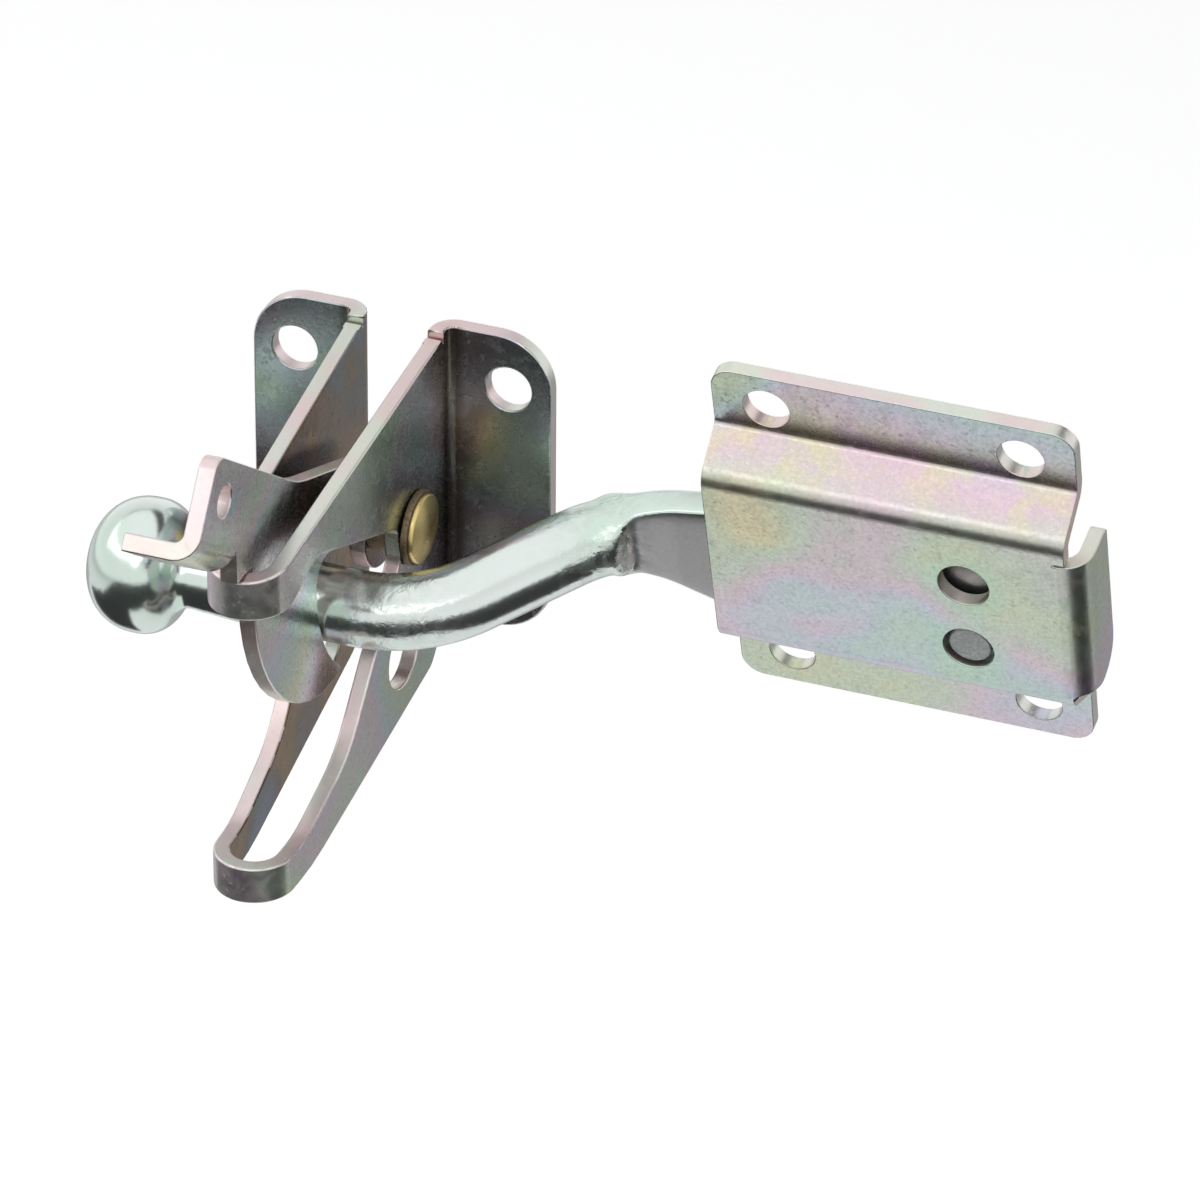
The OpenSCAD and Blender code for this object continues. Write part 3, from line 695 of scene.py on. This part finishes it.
def strike_bar_mesh(name, around=96):
    """The strike bar as superellipses carried along its path. At ring angle t, a point stands off the path
    by half the width times cos t, and over it by half the height times sin t, both to the power 2 / e. Half
    width, top, bottom and e go from the round bar's to the blade's, and the end's corners are arcs."""
    s = prop("latch_bar")
    blade_end = (node_points("strike_bar") - np.array(BAR))[:, 0].max()
    path, angle, radius = bar_path(s, blade_end)
    along = path[:, 0]
    press = ease((along - s.flat_x) / s.press_len + 1)
    flare_from = s.flat_x - s.press_len / 2
    flare = np.clip((along - flare_from) / (s.flare_x - flare_from), 0, 1)
    corner = np.clip((along - blade_end + s.blade_corner) / s.blade_corner, 0, 1)
    cut_back = s.blade_corner * (1 - np.sqrt(1 - corner ** 2))
    wide = between(radius, s.blade_t / 2, press)[:, None]
    top = (between(radius, s.blade_top, flare) - cut_back)[:, None]
    low = (between(radius, s.blade_low, flare) - cut_back)[:, None]
    power = 2 / between(ROUND_POWER, BLADE_POWER, press)[:, None]
    turn = np.linspace(0, 2 * math.pi, around, endpoint=False)[None, :]
    off = wide * np.sign(np.cos(turn)) * np.abs(np.cos(turn)) ** power
    up = np.sign(np.sin(turn)) * np.abs(np.sin(turn)) ** power
    points = np.stack([along[:, None] - off * np.sin(angle)[:, None],
                       path[:, 1, None] + off * np.cos(angle)[:, None],
                       (top - low) / 2 + (top + low) / 2 * up], -1)
    mesh = tube_mesh(name, gate_to_world(points))
    pressed = np.exp(-((along - s.flat_x + s.press_len) / PRESS_REACH) ** 2)
    bent = BEND_SHARE * np.exp(-((along - s.bend_x - BEND_AFTER) / BEND_REACH) ** 2)
    worked = np.repeat(np.maximum(pressed, bent), around)
    sides = ease((np.abs(np.cos(turn)) - np.abs(np.sin(turn))) / DULL_RIM + 0.5)
    flat = (ease((along - s.flat_x) / DULL_LENGTH + DULL_START)[:, None] * sides).ravel()
    for key, values in (("worked", worked), ("blade", flat)):
        layer = mesh.attributes.new(key, "FLOAT", "POINT")
        layer.data.foreach_set("value", np.concatenate([values, values[[0, -1]]]))
    return mesh


# The stud: its peened end's height, share and corner, its shoulder's length, corner and slope, its neck's
# share and corner, and the radius left at the middle of its end.
PEEN_HIGH, PEEN_SHARE, PEEN_R = 0.3 * MM, 0.7, 0.5 * MM
STUD_SHOULDER, STUD_SHOULDER_R, STUD_SLOPE = 2.4 * MM, 0.3 * MM, 0.4 * MM
STUD_NECK, STUD_END_R, STUD_MIDDLE_R = 0.87, 0.4 * MM, 0.1 * MM
# Corners of the bushes and the washer, and how much thinner the shank is than the washer's bore.
BUSH_CORNER_R, BORE_PLAY = 0.25 * MM, 0.03 * MM
# The rivet: its head's rim, that rim's corner, and its tail's share, length, corners and middle.
RIM_HIGH, RIM_R = 0.8 * MM, 0.15 * MM
TAIL_SHARE, TAIL_LEN, TAIL_R, TAIL_FOOT_R, TAIL_MIDDLE_R = 0.72, 1 * MM, 0.9 * MM, 0.1 * MM, 0.2 * MM
# Rings of the rivet's dome, and the small angle at which its pole is closed.
DOME_RINGS, DOME_POLE = 24, 0.01
# Where the rivet's axis crosses the middle plane.
PIVOT_AXIS = Vector((0, PIVOT.y, PIVOT.z))


def pivot_profile(node):
    """Lengths along X of a pivot piece's box, and its radius."""
    low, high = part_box(node)
    return low.x, high.x, (high.z - low.z) / 2


def pivot_bore():
    """Radius of the rivet's shank, from the washer's inner edge in the frame."""
    points = node_points("pivot_washer")
    return np.hypot(points[:, 1] - PIVOT.y, points[:, 2] - PIVOT.z).min() - BORE_PLAY


class LATCH_OT_sheet_pieces(bpy.types.Operator):
    """Makes the latch body, the pawl and the cover plate from stamped and bent sheet"""
    bl_idname = "gate_latch.sheet_pieces"
    bl_label = "Sheet pieces"

    def execute(self, context):
        size = prop("latch_sheet")
        for node, body, merge, edge_r, kept in (
                ("latch_body", "post_latch", size.merge, size.body_edge, 0.0),
                ("pawl", "pawl", size.pawl_merge, size.pawl_edge, 0.0),
                ("cover_plate", "cover", size.merge, size.cover_edge, size.cover_kept)):
            piece = sheet_piece(node, node + "_sheet", merge, edge_r, kept)
            dress(piece, node, body, zinc_sheet)
        return {"FINISHED"}


class LATCH_OT_strike_bar(bpy.types.Operator):
    """Makes the strike bar with its turned knob, two bends and pressed blade"""
    bl_idname = "gate_latch.strike_bar"
    bl_label = "Strike bar"

    def execute(self, context):
        bar = new_object("strike_bar_and_knob", strike_bar_mesh("strike_bar_and_knob"))
        dress(bar, "strike_bar", "strike", zinc_bar)
        return {"FINISHED"}


class LATCH_OT_strike_stud(bpy.types.Operator):
    """Makes the stud that the cover plate turns on, peened at its back"""
    bl_idname = "gate_latch.strike_stud"
    bl_label = "Strike stud"

    def execute(self, context):
        points = node_points("strike_stud") - np.array(STUD)
        along = points @ np.array(GATE_OUT)
        radius = np.linalg.norm(points - along[:, None] * np.array(GATE_OUT), axis=1).max()
        back, front = along.min(), along.max()
        peen, neck, shoulder = back - PEEN_HIGH, STUD_NECK * radius, front - STUD_SHOULDER
        profile = rounded([(peen, 0, 0), (peen, PEEN_SHARE * radius, PEEN_R), (back, radius, 0),
                           (shoulder, radius, STUD_SHOULDER_R), (shoulder + STUD_SLOPE, neck, 0),
                           (front, neck, STUD_END_R), (front, STUD_MIDDLE_R, 0)])
        mesh = turned_mesh("strike_stud_peened", profile[1:], STUD, GATE_OUT)
        dress(new_object("strike_stud_peened", mesh), "strike_stud", "strike", stud_steel)
        return {"FINISHED"}


class LATCH_OT_pivot(bpy.types.Operator):
    """Makes the pawl's pivot: a domed brass rivet, its washer and two bronze bushes"""
    bl_idname = "gate_latch.pivot"
    bl_label = "Pivot"

    def execute(self, context):
        self.rivet()
        bore = pivot_bore()
        for node, name in (("pivot_washer", "pivot_washer_ring"), ("bush_left", "left_bush"),
                           ("bush_right", "right_bush")):
            low, high, radius = pivot_profile(node)
            profile = rounded([(low, bore, 0), (low, radius, BUSH_CORNER_R), (high, radius, BUSH_CORNER_R),
                               (high, bore, 0)], steps=5)
            mesh = turned_mesh(name, profile, PIVOT_AXIS, RIGHT)
            dress(new_object(name, mesh), node, "post_latch", bush_bronze)
        return {"FINISHED"}

    def rivet(self):
        """Shank between a low dome over a short rim and a smaller peened tail."""
        low, high, radius = pivot_profile("pivot_rivet")
        shank = pivot_bore()
        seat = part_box("pivot_washer")[1].x
        dome = seat + RIM_HIGH
        lift = high - dome
        sphere = (radius ** 2 + lift ** 2) / (2 * lift)
        swing = np.linspace(math.asin(radius / sphere), DOME_POLE, DOME_RINGS)
        cap = np.stack([high - sphere + sphere * np.cos(swing), sphere * np.sin(swing)], -1)
        tail, tail_r = low + TAIL_LEN, TAIL_SHARE * radius
        shank_low = rounded([(low, TAIL_MIDDLE_R, 0), (low, tail_r, TAIL_R), (tail, tail_r, TAIL_FOOT_R),
                             (tail, shank, 0), (seat, shank, 0), (seat, radius, RIM_R),
                             (dome, radius, 0)], steps=6)
        profile = np.concatenate([shank_low, cap[1:]])
        mesh = turned_mesh("pivot_rivet_domed", profile, PIVOT_AXIS, RIGHT, around=96)
        dress(new_object("pivot_rivet_domed", mesh), "pivot_rivet", "post_latch", rivet_brass)


# The studio, in metres: radii of the floor and the table, heights of the table and the cloths over the
# floor, and the wall's radius and its lower and upper edge.
FLOOR_R, TABLE_R = 7, 4
TABLE_Z, CLOTH_Z = 2 * MM, 4 * MM
WALL_R, WALL_LOW, WALL_HIGH = 2.5, -0.17, 2.3
# Points across a stage surface, and across and round the round ones.
GRID_POINTS, DISC_POINTS, DISC_ROUND, WALL_ROUND = 8, 12, 49, 65
# Cloths that only the metal mirrors: name, the stage's colour, places across and along, and lean.
CLOTHS = (
    ("front_cloth", "cloth", (-0.45, 3.0), (-3.5, -0.25), 0.38),
    ("left_cloth", "cloth", (-0.5, -0.08), (-0.25, 0.06), 0),
    ("right_cloth", "cloth", (0.2, 3.0), (-0.25, 0.1), 0),
    ("back_cloth", "floor", (-0.6, 0.8), (0.15, 1.1), 0),
)
# The overhead softbox: its place, its two sizes, and its power in watts.
SOFTBOX_PLACE, SOFTBOX_SIZE, SOFTBOX_POWER = (-0.1, -0.25, 0.95), (2.2, 1.9), 13.5
MATT = 0.9
SENSOR_WIDTH, CLIP_START = 36, 0.05


def plain_finish(name, shade, strength):
    """A plain matt finish with an even glow."""
    material = bpy.data.materials.new(name)
    material.use_nodes = True
    surface = material.node_tree.nodes["Principled BSDF"]
    surface.inputs["Base Color"].default_value = (*shade, 1)
    surface.inputs["Roughness"].default_value = MATT
    surface.inputs["Emission Color"].default_value = (1, 1, 1, 1)
    surface.inputs["Emission Strength"].default_value = strength
    return material


def stage_piece(name, points, shade, strength):
    """A grid of points[i, j] as a stage surface with a plain finish."""
    rows, columns = points.shape[:2]
    corner = (np.arange(rows - 1)[:, None] * columns + np.arange(columns - 1)).ravel()
    faces = np.stack([corner, corner + 1, corner + columns + 1, corner + columns], -1)
    mesh = bpy.data.meshes.new(name)
    mesh.from_pydata(points.reshape(-1, 3).tolist(), [], faces.tolist())
    mesh.shade_smooth()
    mesh.materials.append(plain_finish(name, shade, strength))
    obj = new_object(name, mesh)
    return obj


def floor_points(z, radius):
    """A disc: at u and t, the point u times the radius away in the direction t."""
    u = np.linspace(0, 1, DISC_POINTS)[:, None]
    t = np.linspace(0, 2 * math.pi, DISC_ROUND)[None, :]
    flat = np.stack([u * np.cos(t), u * np.sin(t)], -1) * radius
    return np.concatenate([flat, np.full((*flat.shape[:2], 1), z)], -1)


def cloth_points(z, across, along, lean):
    """A flat sheared rectangle at a height: between two places across at its far edge and two along,
    leaning sideways by a share of the way along."""
    x, y = np.meshgrid(np.linspace(*across, GRID_POINTS), np.linspace(*along, GRID_POINTS), indexing="ij")
    return np.stack([x + lean * (y - along[1]), y, np.full(x.shape, z)], -1)


def wall_points():
    """The bright studio wall that the metal mirrors: an upright ring about the latch, from just under its
    height upwards."""
    turn, z = np.meshgrid(np.linspace(0, 2 * math.pi, WALL_ROUND),
                          np.linspace(WALL_LOW, WALL_HIGH, GRID_POINTS), indexing="ij")
    return np.stack([WALL_R * np.cos(turn), WALL_R * np.sin(turn), z], -1)


def soft_light(name, place, aim, size, power):
    """A rectangular soft light at a place, turned to its aim."""
    light = bpy.data.lights.new(name, "AREA")
    light.shape = "RECTANGLE"
    light.size, light.size_y = size
    light.energy = power
    obj = bpy.data.objects.new(name, light)
    obj.location = place
    obj.rotation_euler = (Vector(aim) - Vector(place)).to_track_quat("-Z", "Y").to_euler()
    obj.visible_camera = False
    bpy.context.scene.collection.objects.link(obj)


class LATCH_OT_stage(bpy.types.Operator):
    """Sets the pale floor, the soft studio light and the camera at the photograph's angle"""
    bl_idname = "gate_latch.stage"
    bl_label = "Stage"

    def execute(self, context):
        stage = prop("latch_stage")
        floor_z = CAD_BOX[0].z - stage.floor_drop
        floor = stage_piece("floor", floor_points(floor_z, FLOOR_R), stage.floor, stage.floor_glow)
        floor.visible_glossy = False
        table_top = floor_points(floor_z + TABLE_Z, TABLE_R)
        table = stage_piece("table", table_top, stage.floor, stage.table_glow)
        mirrored = [table, stage_piece("bright_wall", wall_points(), stage.floor, stage.wall_glow)]
        for name, shade, across, along, lean in CLOTHS:
            points = cloth_points(floor_z + CLOTH_Z, across, along, lean)
            mirrored.append(stage_piece(name, points, getattr(stage, shade), 0))
        for obj in mirrored:
            obj.visible_camera = False
            obj.visible_diffuse = False
            obj.visible_shadow = False
        middle = (CAD_BOX[0] + CAD_BOX[1]) / 2
        soft_light("Overhead softbox", SOFTBOX_PLACE, middle, SOFTBOX_SIZE, SOFTBOX_POWER)
        self.world(context.scene, stage)
        self.camera(context.scene, stage)
        context.scene.view_settings.view_transform = "Standard"
        return {"FINISHED"}

    def world(self, scene, stage):
        """A dim room, so that the bright metal has something dark to show."""
        world = bpy.data.worlds.new("Dim room")
        world.use_nodes = True
        world.node_tree.nodes["Background"].inputs["Color"].default_value = (*stage.room, 1)
        scene.world = world

    def camera(self, scene, stage):
        """A long lens: it looks along minus the view direction from its distance to the aim."""
        yaw, rise = stage.yaw, stage.rise
        toward = Vector((math.sin(yaw) * math.cos(rise), -math.cos(yaw) * math.cos(rise), math.sin(rise)))
        flat_right = Vector((math.cos(yaw), math.sin(yaw), 0))
        flat_up = toward.cross(flat_right)
        right = flat_right * math.cos(stage.roll) + flat_up * math.sin(stage.roll)
        up = toward.cross(right)
        place = right * stage.aim_right + up * stage.aim_up + toward * stage.distance
        lens = bpy.data.cameras.new("Camera")
        lens.lens = stage.lens
        lens.sensor_width = SENSOR_WIDTH
        lens.clip_start = CLIP_START
        camera = bpy.data.objects.new("Camera", lens)
        camera.matrix_world = Matrix.Translation(place) @ Matrix((right, up, toward)).transposed().to_4x4()
        scene.collection.objects.link(camera)
        scene.camera = camera


class LATCH_PT_panel(bpy.types.Panel):
    """Lists the latch's pieces and its stage"""
    bl_idname = "LATCH_PT_panel"
    bl_label = "Gate latch"
    bl_space_type = "VIEW_3D"
    bl_region_type = "UI"
    bl_category = "Gate latch"

    def draw(self, context):
        for operator in OPERATORS:
            self.layout.operator(operator.bl_idname)


OPERATORS = (LATCH_OT_sheet_pieces, LATCH_OT_strike_bar, LATCH_OT_strike_stud, LATCH_OT_pivot,
             LATCH_OT_stage)
GROUPS = {"latch_sheet": LatchSheetSizes, "latch_bar": LatchBarSizes, "latch_finish": LatchFinish,
          "latch_stage": LatchStage}
CLASSES = (*GROUPS.values(), *OPERATORS, LATCH_PT_panel)


def register():
    """Registers the classes and gives the scene their property groups."""
    for made in CLASSES:
        bpy.utils.register_class(made)
    for name, group in GROUPS.items():
        setattr(bpy.types.Scene, name, PointerProperty(type=group))


def unregister():
    """Takes the property groups off the scene and unregisters the classes."""
    for name in GROUPS:
        delattr(bpy.types.Scene, name)
    for made in reversed(CLASSES):
        bpy.utils.unregister_class(made)


def main():
    """Makes every piece and the stage."""
    register()
    bpy.ops.gate_latch.sheet_pieces()
    bpy.ops.gate_latch.strike_bar()
    bpy.ops.gate_latch.strike_stud()
    bpy.ops.gate_latch.pivot()
    bpy.ops.gate_latch.stage()


if __name__ == "__main__":
    main()
